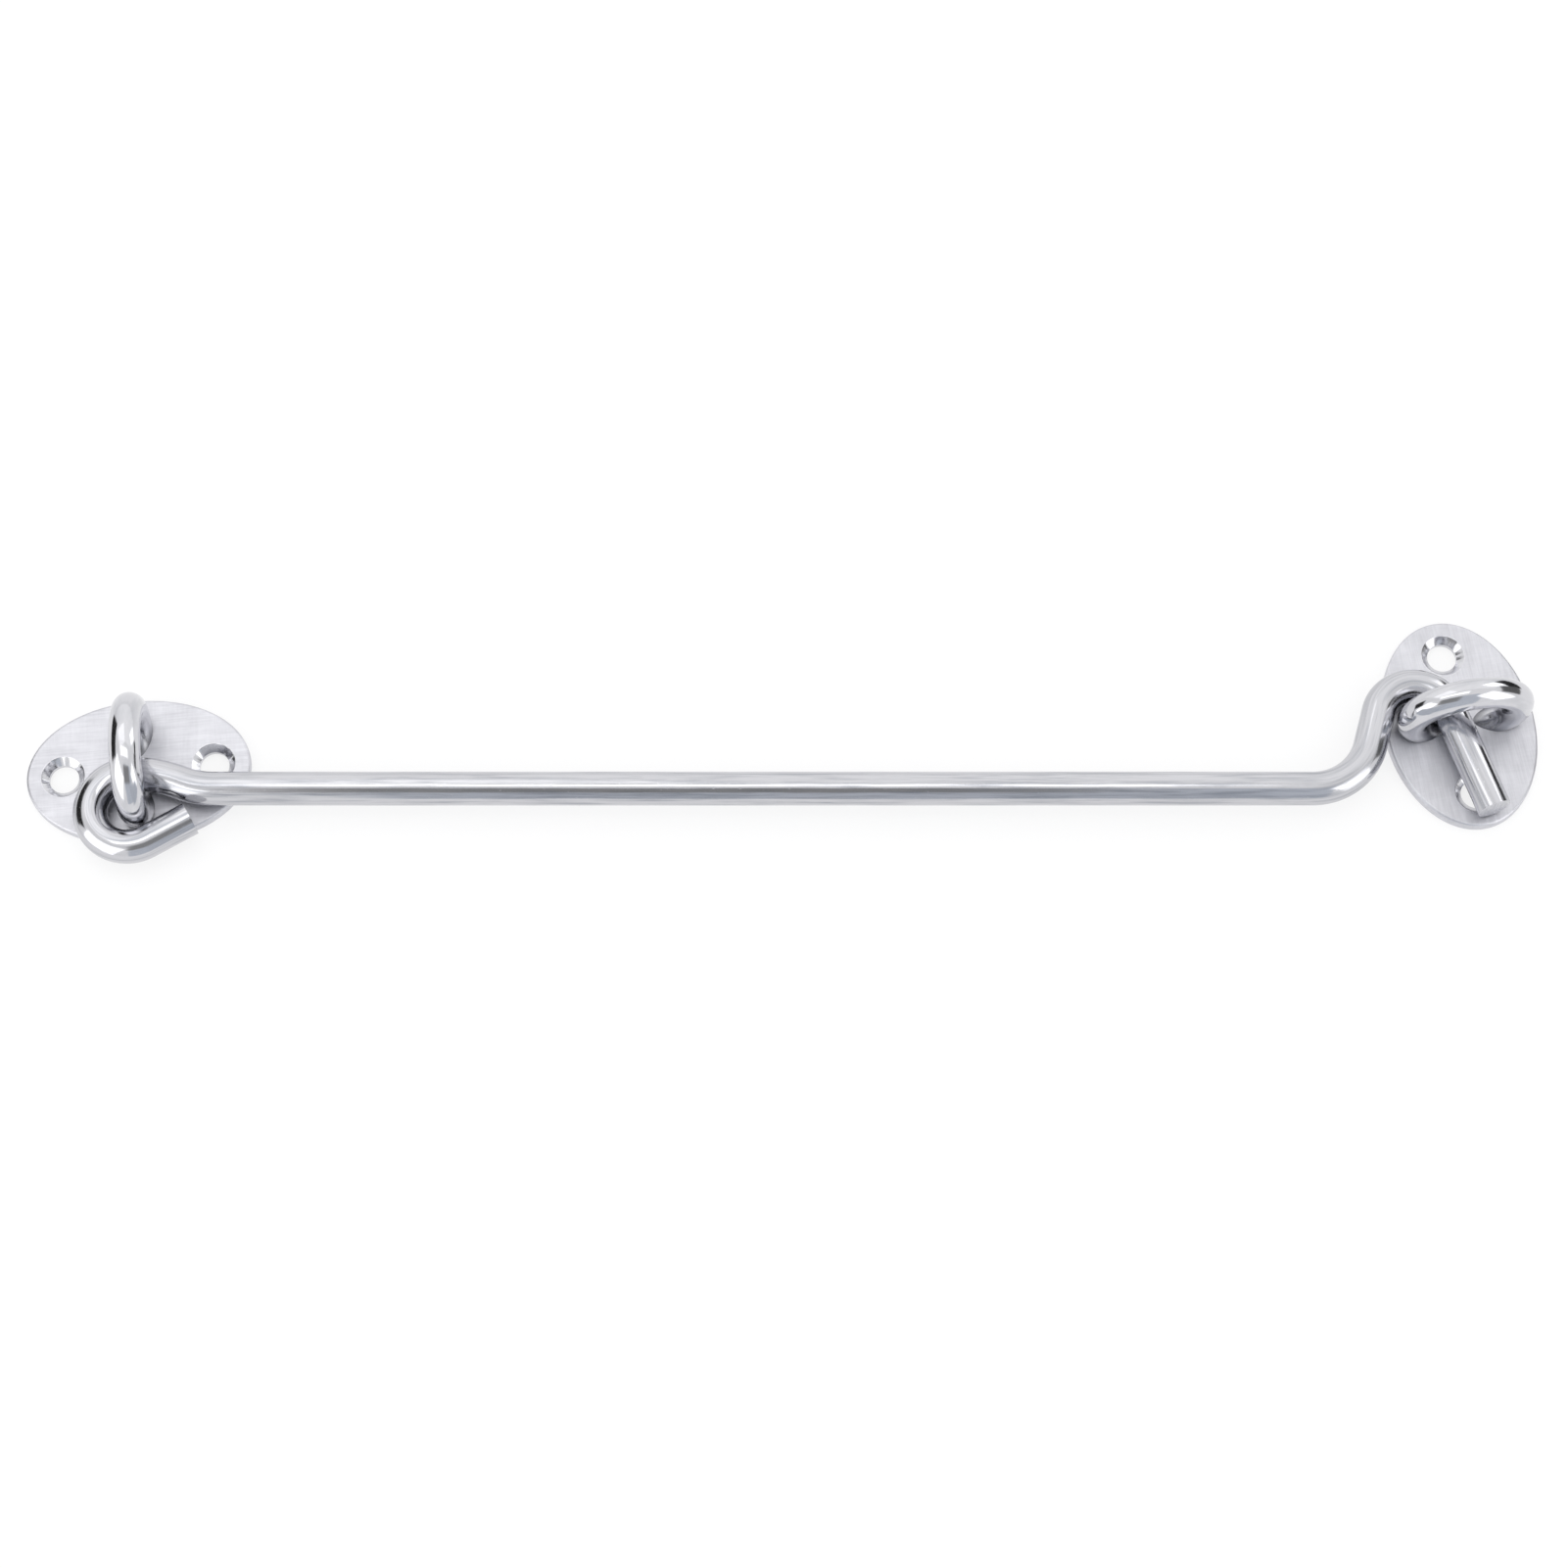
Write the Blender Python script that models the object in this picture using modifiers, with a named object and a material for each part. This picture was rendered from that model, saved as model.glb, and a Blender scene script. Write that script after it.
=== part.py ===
"""Hook and eye latch: a bent wire hook, captive on one staple plate and latched on a second one.

Metres, +Z up. Both plates lie with their backs on Z = 0, the surface they are screwed to. The origin is
the centre of the eye plate's back, and the hook's rod runs along +X. The latch is shown closed.
"""

import math

import bmesh
import bpy
from mathutils import Vector

# Round wire, and the play and gaps between pieces
HOOK_WIRE = 0.0060
STAPLE_WIRE = 0.0055
EYE_PLAY = 0.00115
BEND_PLAY = 0.00085
SEAT_GAP = 0.0003
RIDE_GAP = 0.0005

# Stamped plate: an ellipse with two countersunk screw holes
PLATE_LENGTH = 0.0398
PLATE_WIDTH = 0.0271
PLATE_THICKNESS = 0.0020
FRONT_EDGE_ROUNDING = 0.0005
BACK_EDGE_ROUNDING = 0.00015
SCREW_SPACING = 0.0268
SCREW_HOLE = 0.0053
COUNTERSINK = 0.0076
COUNTERSINK_HALF_ANGLE = math.radians(45)

# Staple: part of an ellipse of wire, its legs drawn in at the feet, with a turned tenon under each foot
STAPLE_SPAN = 0.0190
STAPLE_HEIGHT = 0.0130
FOOT_DRAWN_IN = 0.0020
FOOT_SPAN = STAPLE_SPAN - 2 * FOOT_DRAWN_IN
TENON_SHOULDER = 0.00075
TENON = STAPLE_WIRE - 2 * TENON_SHOULDER
TENON_CLEARANCE = 0.0003
TENON_ROOT = 0.0006

# Eye at the rod's left end, from the rod round to the cut end of the wire
NECK_RADIUS = 0.0158
NECK_TURN = math.radians(21.4)
SHOULDER_RADIUS = 0.0250
SHOULDER_TURN = math.radians(20.2)
EYE_RADIUS = (HOOK_WIRE + STAPLE_WIRE) / 2 + EYE_PLAY
EYE_TURN = math.radians(212)
TAIL_LENGTH = 0.0085

# Rod and the hook at its right end
ROD_LENGTH = 0.1940
RISER_RADIUS = 0.0113
RISER_TURN = math.radians(73.7)
RISER_LENGTH = 0.0071
BEND_RADIUS = (HOOK_WIRE + STAPLE_WIRE) / 2 + BEND_PLAY
BEND_TURN = math.radians(144.8)
TIP_LENGTH = 0.0201
CUT_END_ROUNDING = 0.0004

# How each plate is turned, and where its leg stands in the bend round it
EYE_PLATE_ANGLE = math.radians(5.5)
CATCH_PLATE_ANGLE = math.radians(-81.5)
EYE_FROM_LEG = Vector((-0.00112, 0.00044))
CATCH_LEG_FROM_BEND = Vector((-0.00064, -0.00043))

# Facets
ARC_STEP = math.radians(9)
PLATE_SIDES = 72
HOLE_SIDES = 24
WIRE_RESOLUTION = 6
ROUNDING_SEGMENTS = 2
SMOOTH_BELOW = math.radians(40)
CUT_EDGES_ABOVE = math.radians(60)
WELD = 0.000001
PAST_THE_FACE = 0.0010

WIRE_HEIGHT = PLATE_THICKNESS + RIDE_GAP + HOOK_WIRE / 2
STEEL = {
    "plate": ((0.62, 0.62, 0.64, 1), 0.34),
    "staple": ((0.70, 0.70, 0.72, 1), 0.12),
    "hook": ((0.66, 0.66, 0.68, 1), 0.20),
}


class WirePath:
    """The centreline of a wire bent in one plane: straight runs and round bends, drawn in order."""

    def __init__(self, start, heading):
        self.points = [Vector(start)]
        self.heading = heading

    def run(self, length):
        """Go straight on."""
        along = Vector((math.cos(self.heading), math.sin(self.heading)))
        self.points.append(self.points[-1] + length * along)

    def bend(self, radius, turn):
        """Follow a round bend, to the left where turn is positive, and return the bend's centre."""
        side = math.copysign(1, turn)
        start = self.heading
        to_left = Vector((-math.sin(start), math.cos(start)))
        centre = self.points[-1] + side * radius * to_left
        steps = max(2, math.ceil(abs(turn) / ARC_STEP))
        for i in range(1, steps + 1):
            angle = start + turn * i / steps
            self.points.append(centre - side * radius * Vector((-math.sin(angle), math.cos(angle))))
        self.heading = start + turn
        return centre


def collection(name):
    """A new collection in the scene."""
    group = bpy.data.collections.new(name)
    bpy.context.scene.collection.children.link(group)
    return group


def steel(name, look):
    """A Principled material in one of the part's three steel finishes."""
    colour, roughness = STEEL[look]
    material = bpy.data.materials.new(name)
    material.use_nodes = True
    shader = material.node_tree.nodes["Principled BSDF"]
    shader.inputs["Base Color"].default_value = colour
    shader.inputs["Metallic"].default_value = 1.0
    shader.inputs["Roughness"].default_value = roughness
    return material


def curve_object(name, points, flat):
    """A POLY curve through the points: an open line in space, or a closed flat outline."""
    curve = bpy.data.curves.new(name, "CURVE")
    curve.dimensions = "2D" if flat else "3D"
    spline = curve.splines.new("POLY")
    spline.points.add(len(points) - 1)
    for slot, point in zip(spline.points, points):
        slot.co = (*point, 1)
    spline.use_cyclic_u = flat
    made = bpy.data.objects.new(name, curve)
    bpy.context.scene.collection.objects.link(made)
    return made


def as_mesh(made, group):
    """Turn a curve object into a mesh object of the same name with its caps welded."""
    name = made.name
    bpy.context.view_layer.update()
    evaluated = made.evaluated_get(bpy.context.evaluated_depsgraph_get())
    mesh = bpy.data.meshes.new_from_object(evaluated)
    place = made.matrix_world.copy()
    bpy.data.objects.remove(made)
    work = bmesh.new()
    work.from_mesh(mesh)
    bmesh.ops.remove_doubles(work, verts=work.verts, dist=WELD)
    bmesh.ops.recalc_face_normals(work, faces=work.faces)
    work.to_mesh(mesh)
    work.free()
    mesh.name = name
    solid = bpy.data.objects.new(name, mesh)
    solid.matrix_world = place
    group.objects.link(solid)
    return solid


def wire(name, points, diameter, group):
    """A round wire along the points, cut square at both ends."""
    made = curve_object(name, points, flat=False)
    made.data.bevel_depth = diameter / 2
    made.data.bevel_resolution = WIRE_RESOLUTION
    made.data.use_fill_caps = True
    return as_mesh(made, group)


def finish(solid, look):
    """Give the piece its material and smooth shading between its edges."""
    solid.data.materials.clear()
    solid.data.materials.append(steel(solid.name, look))
    solid.data.shade_smooth()
    solid.data.set_sharp_from_angle(angle=SMOOTH_BELOW)


def cutter(solid, mount, group):
    """Hide a cutting solid and stand it on the plate's own frame."""
    solid.hide_render = True
    solid.display_type = "WIRE"
    solid.parent = mount
    for owner in list(solid.users_collection):
        owner.objects.unlink(solid)
    group.objects.link(solid)
    return solid


def boolean(solid, other, operation):
    """Cut the solid by the other one, or join that one to it."""
    modifier = solid.modifiers.new(other.name, "BOOLEAN")
    modifier.operation = operation
    modifier.solver = "EXACT"
    modifier.object = other


def turned(name, profile):
    """A solid of revolution about Z. The profile's (radius, height) points run from top to bottom."""
    mesh = bpy.data.meshes.new(name)
    work = bmesh.new()
    ring = [work.verts.new((radius, 0, height)) for radius, height in profile]
    for above, below in zip(ring, ring[1:]):
        work.edges.new((above, below))
    work.to_mesh(mesh)
    work.free()
    made = bpy.data.objects.new(name, mesh)
    bpy.context.scene.collection.objects.link(made)
    screw = made.modifiers.new("Turn", "SCREW")
    screw.steps = HOLE_SIDES
    screw.render_steps = HOLE_SIDES
    screw.use_merge_vertices = True
    screw.merge_threshold = WELD
    return made


def screw_hole_cutter(name):
    """The space of one countersunk hole, running past both faces of the plate."""
    hole = SCREW_HOLE / 2
    sink = COUNTERSINK / 2
    slope = math.tan(COUNTERSINK_HALF_ANGLE)
    depth = (sink - hole) / slope
    top = PLATE_THICKNESS + PAST_THE_FACE
    return turned(name, [
        (0, top),
        (sink + PAST_THE_FACE * slope, top),
        (hole, PLATE_THICKNESS - depth),
        (hole, -PAST_THE_FACE),
        (0, -PAST_THE_FACE),
    ])


def plain_cylinder(name, radius, low, high):
    """A round bar along Z between two heights."""
    return turned(name, [(0, high), (radius, high), (radius, low), (0, low)])


def plate(side, mount, parts, cutters):
    """The elliptical plate: round front rim, two countersunk holes and two tenon holes."""
    turns = [2 * math.pi * i / PLATE_SIDES for i in range(PLATE_SIDES)]
    outline = [
        (PLATE_LENGTH / 2 * math.cos(turn), PLATE_WIDTH / 2 * math.sin(turn), 0) for turn in turns
    ]
    made = curve_object(f"{side}_plate", outline, flat=True)
    made.data.fill_mode = "BOTH"
    made.data.extrude = PLATE_THICKNESS / 2
    solid = as_mesh(made, parts)
    solid.parent = mount
    solid.location.z = PLATE_THICKNESS / 2
    weigh_rims(solid.data)
    rims = solid.modifiers.new("Rims", "BEVEL")
    rims.limit_method = "WEIGHT"
    rims.width = FRONT_EDGE_ROUNDING
    rims.segments = ROUNDING_SEGMENTS
    for sign, end in ((-1, "a"), (1, "b")):
        hole = cutter(screw_hole_cutter(f"{side}_screw_hole_{end}"), mount, cutters)
        hole.location.x = sign * SCREW_SPACING / 2
        boolean(solid, hole, "DIFFERENCE")
        socket = plain_cylinder(
            f"{side}_tenon_hole_{end}",
            TENON / 2 + TENON_CLEARANCE,
            -PAST_THE_FACE,
            PLATE_THICKNESS + PAST_THE_FACE,
        )
        cutter(socket, mount, cutters).location.y = sign * FOOT_SPAN / 2
        boolean(solid, socket, "DIFFERENCE")
    finish(solid, "plate")


def weigh_rims(mesh):
    """Bevel weights: full on the front rim, a small share on the back rim."""
    weights = mesh.attributes.new("bevel_weight_edge", "FLOAT", "EDGE")
    for edge in mesh.edges:
        heights = [mesh.vertices[v].co.z for v in edge.vertices]
        if abs(heights[0] - heights[1]) < PLATE_THICKNESS / 2:
            front = heights[0] > 0
            weights.data[edge.index].value = 1.0 if front else BACK_EDGE_ROUNDING / FRONT_EDGE_ROUNDING


def staple_ellipse():
    """Half width, half height and centre height of the staple's ellipse, and the angle of its feet."""
    half_width = STAPLE_SPAN / 2
    foot_angle = math.acos(FOOT_SPAN / STAPLE_SPAN)
    half_height = STAPLE_HEIGHT / (1 + math.sin(foot_angle))
    centre = PLATE_THICKNESS + STAPLE_HEIGHT - half_height
    return half_width, half_height, centre, foot_angle


def staple(side, mount, parts, cutters):
    """The horseshoe of wire: drawn past the plate's face, cut flat there and set on two tenons."""
    half_width, half_height, centre, foot_angle = staple_ellipse()
    past = foot_angle + STAPLE_WIRE / half_height
    steps = math.ceil((math.pi + 2 * past) / ARC_STEP)
    points = []
    for i in range(steps + 1):
        angle = -past + (math.pi + 2 * past) * i / steps
        points.append((0, half_width * math.cos(angle), centre + half_height * math.sin(angle)))
    solid = wire(f"{side}_staple", points, STAPLE_WIRE, parts)
    solid.parent = mount
    seat = PLATE_THICKNESS + SEAT_GAP
    below = plain_cylinder(f"{side}_foot_cut", STAPLE_SPAN, -STAPLE_SPAN, seat)
    boolean(solid, cutter(below, mount, cutters), "DIFFERENCE")
    for sign, end in ((-1, "a"), (1, "b")):
        tenon = plain_cylinder(f"{side}_tenon_{end}", TENON / 2, 0, seat + TENON_ROOT)
        cutter(tenon, mount, cutters).location.y = sign * FOOT_SPAN / 2
        boolean(solid, tenon, "UNION")
    finish(solid, "staple")


def hook_path():
    """The hook's centreline from the eye's cut end to the tip, with the centres of its two bends."""
    path = WirePath((0, 0), EYE_TURN + SHOULDER_TURN - NECK_TURN)
    path.run(TAIL_LENGTH)
    eye_centre = path.bend(EYE_RADIUS, -EYE_TURN)
    path.bend(SHOULDER_RADIUS, -SHOULDER_TURN)
    path.bend(NECK_RADIUS, NECK_TURN)
    path.run(ROD_LENGTH)
    path.bend(RISER_RADIUS, RISER_TURN)
    path.run(RISER_LENGTH)
    bend_centre = path.bend(BEND_RADIUS, -BEND_TURN)
    path.run(TIP_LENGTH)
    return path.points, eye_centre, bend_centre


def hook(hinge, parts):
    """The one-piece hook, its origin on the staple leg that it turns about. Returns its bend's centre."""
    points, eye_centre, bend_centre = hook_path()
    shift = EYE_FROM_LEG - eye_centre
    solid = wire("hook_arm", [(*(point + shift), 0) for point in points], HOOK_WIRE, parts)
    solid.location = (*hinge, WIRE_HEIGHT)
    ends = solid.modifiers.new("Cut ends", "BEVEL")
    ends.limit_method = "ANGLE"
    ends.angle_limit = CUT_EDGES_ABOVE
    ends.width = CUT_END_ROUNDING
    ends.segments = ROUNDING_SEGMENTS
    finish(solid, "hook")
    return hinge + shift + bend_centre


def leg(angle):
    """From a plate's centre to the leg of its staple at local -Y, for a plate turned by this angle."""
    return STAPLE_SPAN / 2 * Vector((math.sin(angle), -math.cos(angle)))


def plate_frame(name, place, angle, parts):
    """An empty at the centre of a plate's back, turned as the plate is."""
    mount = bpy.data.objects.new(name, None)
    mount.location = (*place, 0)
    mount.rotation_euler.z = angle
    parts.objects.link(mount)
    return mount


def main():
    """The hook stands on the eye plate's leg, and the catch plate's leg stands in the hook's bend."""
    for old in list(bpy.data.objects):
        bpy.data.objects.remove(old)
    parts = collection("hook_and_eye_latch")
    cutters = collection("cutters")
    hinge = leg(EYE_PLATE_ANGLE)
    bend_centre = hook(hinge, parts)
    catch = bend_centre + CATCH_LEG_FROM_BEND - leg(CATCH_PLATE_ANGLE)
    for side, place, angle in (
        ("eye", Vector((0, 0)), EYE_PLATE_ANGLE),
        ("catch", catch, CATCH_PLATE_ANGLE),
    ):
        mount = plate_frame(f"{side}_mount", place, angle, parts)
        plate(side, mount, parts, cutters)
        staple(side, mount, parts, cutters)


main()
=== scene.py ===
"""Hook and eye latch in stainless steel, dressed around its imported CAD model.

Units are metres. Both plates lie with their backs on Z = 0, the surface that they are screwed to. The
origin is the centre of the eye plate's back and the hook's rod runs along +X.
"""

import logging
import math
from dataclasses import dataclass
from enum import Enum
from functools import cache
from typing import Any

import bmesh
import bpy
from mathutils import Matrix, Vector
from mathutils.bvhtree import BVHTree


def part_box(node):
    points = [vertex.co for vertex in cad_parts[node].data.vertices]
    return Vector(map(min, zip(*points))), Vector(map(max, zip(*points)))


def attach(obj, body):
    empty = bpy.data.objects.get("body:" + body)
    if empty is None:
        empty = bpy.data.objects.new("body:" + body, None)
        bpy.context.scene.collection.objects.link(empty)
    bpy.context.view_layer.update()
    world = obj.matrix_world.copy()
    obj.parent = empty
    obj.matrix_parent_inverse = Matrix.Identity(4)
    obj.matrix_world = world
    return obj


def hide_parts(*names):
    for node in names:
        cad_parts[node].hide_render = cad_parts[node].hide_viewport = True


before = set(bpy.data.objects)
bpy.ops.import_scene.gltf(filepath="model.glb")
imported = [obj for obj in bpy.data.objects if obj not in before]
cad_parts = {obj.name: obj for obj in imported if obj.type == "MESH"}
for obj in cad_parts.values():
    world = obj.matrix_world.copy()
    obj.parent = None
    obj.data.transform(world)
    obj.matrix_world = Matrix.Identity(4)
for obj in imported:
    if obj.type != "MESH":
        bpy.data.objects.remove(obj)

LOG = logging.getLogger("latch")
MM = 0.001

# The points that lamps and cards face
EYE_END = (0.0, 0.0, 12 * MM)
CATCH_END = (236 * MM, 0.0, 12 * MM)
MIDDLE = (130 * MM, 0.0, 0.0)

# The attributes that meshes carry for their materials
STRAIGHT_WIRE = "straight_wire"
SHEET_PLACE = "sheet_place"
HOLE_PLACE = "hole_place"
# The share of painted shade on a staple, highest where its plate stands closest
PAINTED_SHADE = "shelter"

Socket = bpy.types.NodeSocket
Tree = bpy.types.NodeTree
Band = tuple[float, float]


class Side(Enum):
    """The two ends of the latch, by the prefix of their CAD nodes."""

    EYE = "eye"
    CATCH = "catch"


class Body(Enum):
    """The CAD bodies that pieces ride on."""

    PLATES = "plates"
    HOOK = "hook"


class Slot(Enum):
    """The record's material slots."""

    PLATE = "plate_steel"
    STAPLE = "staple_steel"
    HOOK = "hook_steel"


# Where each plate's centre lies, and how far it is turned from the rod
PLATE_CENTRES = {Side.EYE: (0.0, 0.0, 0.0), Side.CATCH: (236.2273 * MM, 9.1397 * MM, 0.0)}
PLATE_TURNS = {Side.EYE: math.radians(5.5), Side.CATCH: math.radians(-81.5)}


def linear(colour: str) -> tuple[float, float, float, float]:
    """Turns an sRGB hex colour into linear light.

    Args:
        colour: Six hex digits after a number sign.

    Returns:
        Linear red, green and blue, and an alpha of 1.
    """
    parts = [int(colour[i : i + 2], 16) / 255 for i in (1, 3, 5)]
    light = [c / 12.92 if c <= 0.04045 else ((c + 0.055) / 1.055) ** 2.4 for c in parts]
    return (light[0], light[1], light[2], 1.0)


def add_node(
    tree: Tree, kind: str, inputs: dict[str | int, Any] | tuple[Any, ...] = (), **settings: Any
) -> bpy.types.Node:
    """Adds a node with its settings, values and links.

    Args:
        tree: The node tree that gets the node.
        kind: The node's type.
        inputs: The output sockets or plain values that go in, in the inputs' order or by name or number.
        **settings: Properties of the node itself.

    Returns:
        The new node.
    """
    node = tree.nodes.new(kind)
    for name, value in settings.items():
        setattr(node, name, value)
    sources = inputs if isinstance(inputs, dict) else dict(enumerate(inputs))
    for key, source in sources.items():
        if isinstance(source, Socket):
            tree.links.new(source, node.inputs[key])
        else:
            node.inputs[key].default_value = source
    return node


def new_tree(name: str, inputs: dict[str, tuple[str, Any]]) -> tuple[Tree, dict[str, Socket]]:
    """Starts a Geometry Nodes tree that takes and gives one geometry.

    Args:
        name: The tree's name.
        inputs: Name of each input after the geometry, with its socket type and default.

    Returns:
        The tree, and its inputs' sockets by name.
    """
    tree = bpy.data.node_groups.new(name, "GeometryNodeTree")
    tree.interface.new_socket("Geometry", in_out="INPUT", socket_type="NodeSocketGeometry")
    tree.interface.new_socket("Geometry", in_out="OUTPUT", socket_type="NodeSocketGeometry")
    for label, (kind, default) in inputs.items():
        socket = tree.interface.new_socket(label, in_out="INPUT", socket_type=kind)
        if default is not None:
            socket.default_value = default
    entry = add_node(tree, "NodeGroupInput")
    return tree, {socket.name: socket for socket in entry.outputs if socket.name}


def smooth_between_edges(tree: Tree, geometry: Socket, above: float = 35.0) -> Socket:
    """Shades a mesh smooth, with its edges above an angle left sharp.

    Args:
        tree: The Geometry Nodes tree.
        geometry: The mesh.
        above: The angle, in degrees.

    Returns:
        The shaded mesh, with its instances made real.
    """
    real = add_node(tree, "GeometryNodeRealizeInstances", {0: geometry}).outputs[0]
    faces = add_node(tree, "GeometryNodeSetShadeSmooth", {"Geometry": real}, domain="FACE").outputs[0]
    angle = add_node(tree, "GeometryNodeInputMeshEdgeAngle").outputs[0]
    blunt = add_node(
        tree, "FunctionNodeCompare", {0: angle, 1: math.radians(above)}, operation="LESS_THAN"
    ).outputs[0]
    return add_node(
        tree, "GeometryNodeSetShadeSmooth", {"Geometry": faces, "Shade Smooth": blunt}, domain="EDGE"
    ).outputs[0]


def stood_twice(
    tree: Tree, shape: Socket, spacing: Socket, axis: int, height: Socket | float = 0.0
) -> Socket:
    """Stands a shape twice, evenly about the plate's middle.

    Args:
        tree: The Geometry Nodes tree.
        shape: The shape.
        spacing: How far apart the two stand.
        axis: What they stand along, 0 for X and 1 for Y.
        height: How high they stand.

    Returns:
        The two shapes, made real.
    """
    half = add_node(tree, "ShaderNodeMath", (spacing, -0.5), operation="MULTIPLY").outputs[0]
    start = add_node(tree, "ShaderNodeCombineXYZ", {axis: half, 2: height}).outputs[0]
    offset = add_node(tree, "ShaderNodeCombineXYZ", {axis: spacing}).outputs[0]
    row = add_node(
        tree, "GeometryNodeMeshLine", {"Count": 2, "Start Location": start, "Offset": offset}
    ).outputs[0]
    both = add_node(tree, "GeometryNodeInstanceOnPoints", {"Points": row, "Instance": shape}).outputs[0]
    return add_node(tree, "GeometryNodeRealizeInstances", {0: both}).outputs[0]


def in_scene(name: str, data: bpy.types.ID) -> bpy.types.Object:
    """Puts an object into the scene.

    Args:
        name: The object's name.
        data: Its mesh, curve, lamp or camera.

    Returns:
        The object, at the origin.
    """
    made = bpy.data.objects.new(name, data)
    bpy.context.scene.collection.objects.link(made)
    return made


def lofted(name: str, rings: list[list[tuple[float, float, float]]]) -> bpy.types.Object:
    """Joins rings of points into one closed solid, with a flat face on the first and on the last.

    Args:
        name: The solid's name.
        rings: The rings in order, all with as many points.

    Returns:
        The solid, in the scene.
    """
    work = bmesh.new()
    rows = [[work.verts.new(point) for point in ring] for ring in rings]
    for upper, lower in zip(rows, rows[1:]):
        for i in range(len(upper)):
            j = (i + 1) % len(upper)
            work.faces.new((upper[i], lower[i], lower[j], upper[j]))
    work.faces.new(rows[0])
    work.faces.new(rows[-1][::-1])
    bmesh.ops.recalc_face_normals(work, faces=work.faces)
    mesh = bpy.data.meshes.new(name)
    work.to_mesh(mesh)
    work.free()
    return in_scene(name, mesh)


def grown(
    source: bpy.types.Object, tree: Tree, values: dict[str, Any], weighted: bool = False
) -> bpy.types.Object:
    """Runs a Geometry Nodes tree on an object and keeps the result as a plain mesh.

    Args:
        source: The curve or mesh that the tree starts from, which is removed.
        tree: The tree to run.
        values: Input name and value.
        weighted: Whether large faces hold the normals, so that flats stay flat beside a rounding.

    Returns:
        A mesh object of the source's name, with no modifier.
    """
    name = source.name
    modifier = source.modifiers.new(tree.name, "NODES")
    modifier.node_group = tree
    for item in tree.interface.items_tree:
        if item.item_type == "SOCKET" and item.in_out == "INPUT" and item.name in values:
            modifier[item.identifier] = values[item.name]
    if weighted:
        source.modifiers.new("Flats", "WEIGHTED_NORMAL").keep_sharp = True
    bpy.context.view_layer.update()
    evaluated = source.evaluated_get(bpy.context.evaluated_depsgraph_get())
    mesh = bpy.data.meshes.new_from_object(evaluated)
    bpy.data.objects.remove(source)
    mesh.name = name
    return in_scene(name, mesh)


def settled(piece: bpy.types.Object, node: str, body: Body) -> None:
    """Rides a finished piece on its body in place of its CAD node, and reports how well the two agree.

    Args:
        piece: The finished piece.
        node: The CAD node that it stands for.
        body: The CAD body that it rides on.
    """
    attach(piece, body.value)
    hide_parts(node)
    corners = [Vector(corner) for corner in piece.bound_box]
    low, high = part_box(node)
    off = max(
        abs(end(corner[axis] for corner in corners) - limit[axis])
        for end, limit in ((min, low), (max, high))
        for axis in range(3)
    )
    triangles = sum(len(face.vertices) - 2 for face in piece.data.polygons)
    LOG.info("%s: %d triangles, box within %.2f mm of %s", piece.name, triangles, off / MM, node)


def shelter(
    staple: bpy.types.Object,
    plate: bpy.types.Object,
    reach: float = 2.0 * MM,
    most: float = 0.85,
    falloff: float = 1.5,
    sunk: float = 0.1 * MM,
) -> None:
    """Stores on a staple how closely its plate stands under each point, as a share of painted shade.

    Only these two never part, so the painted shade between them stays right in every pose. A pin inside
    the plate has none, because its end is dressed flush and bright at the back.

    Args:
        staple: The staple.
        plate: The plate that it is set in.
        reach: The distance at which the painted shade ends.
        most: The share of painted shade where the two touch.
        falloff: How much faster than the distance the share falls off.
        sunk: How far under the plate's front a point may lie and still have its share.
    """
    corners = [vertex.co for vertex in plate.data.vertices]
    tree = BVHTree.FromPolygons(corners, [face.vertices for face in plate.data.polygons])
    front = max(corner.z for corner in corners)
    shares = []
    for vertex in staple.data.vertices:
        gap = tree.find_nearest(vertex.co, reach)[3]
        above = vertex.co.z > front - sunk
        # Painted shade: the share falls from most where the plate touches to none at reach
        shares.append(most * (1 - gap / reach) ** falloff if above and gap is not None else 0.0)
    staple.data.attributes.new(PAINTED_SHADE, "FLOAT", "POINT").data.foreach_set("value", shares)


class Route:
    """A wire's centreline in its own plane, walked from one cut end to the other."""

    def __init__(self, start: Vector, heading: float, step: float) -> None:
        """Starts the walk.

        Args:
            start: The first point, in the plane.
            heading: The first direction, in radians from the plane's first axis.
            step: The most that a bend turns between two points, in radians.
        """
        self.points = [Vector(start)]
        self.heading = heading
        self.step = step

    def run(self, length: float, pieces: int) -> None:
        """Goes straight on.

        Args:
            length: How far to go.
            pieces: How many points to lay on the way.
        """
        along = Vector((math.cos(self.heading), math.sin(self.heading)))
        start = self.points[-1]
        self.points += [start + along * length * (i + 1) / pieces for i in range(pieces)]

    def bend(self, radius: float, turn: float) -> Vector:
        """Follows a round bend.

        Args:
            radius: The bend's radius at the centreline.
            turn: How far it turns, to the left where positive.

        Returns:
            The bend's centre.
        """
        side = math.copysign(1, turn)
        start = self.heading
        centre = self.points[-1] + side * radius * Vector((-math.sin(start), math.cos(start)))
        count = math.ceil(abs(turn) / self.step)
        for i in range(1, count + 1):
            angle = start + turn * i / count
            self.points.append(centre - side * radius * Vector((-math.sin(angle), math.cos(angle))))
        self.heading = start + turn
        return centre


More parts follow.
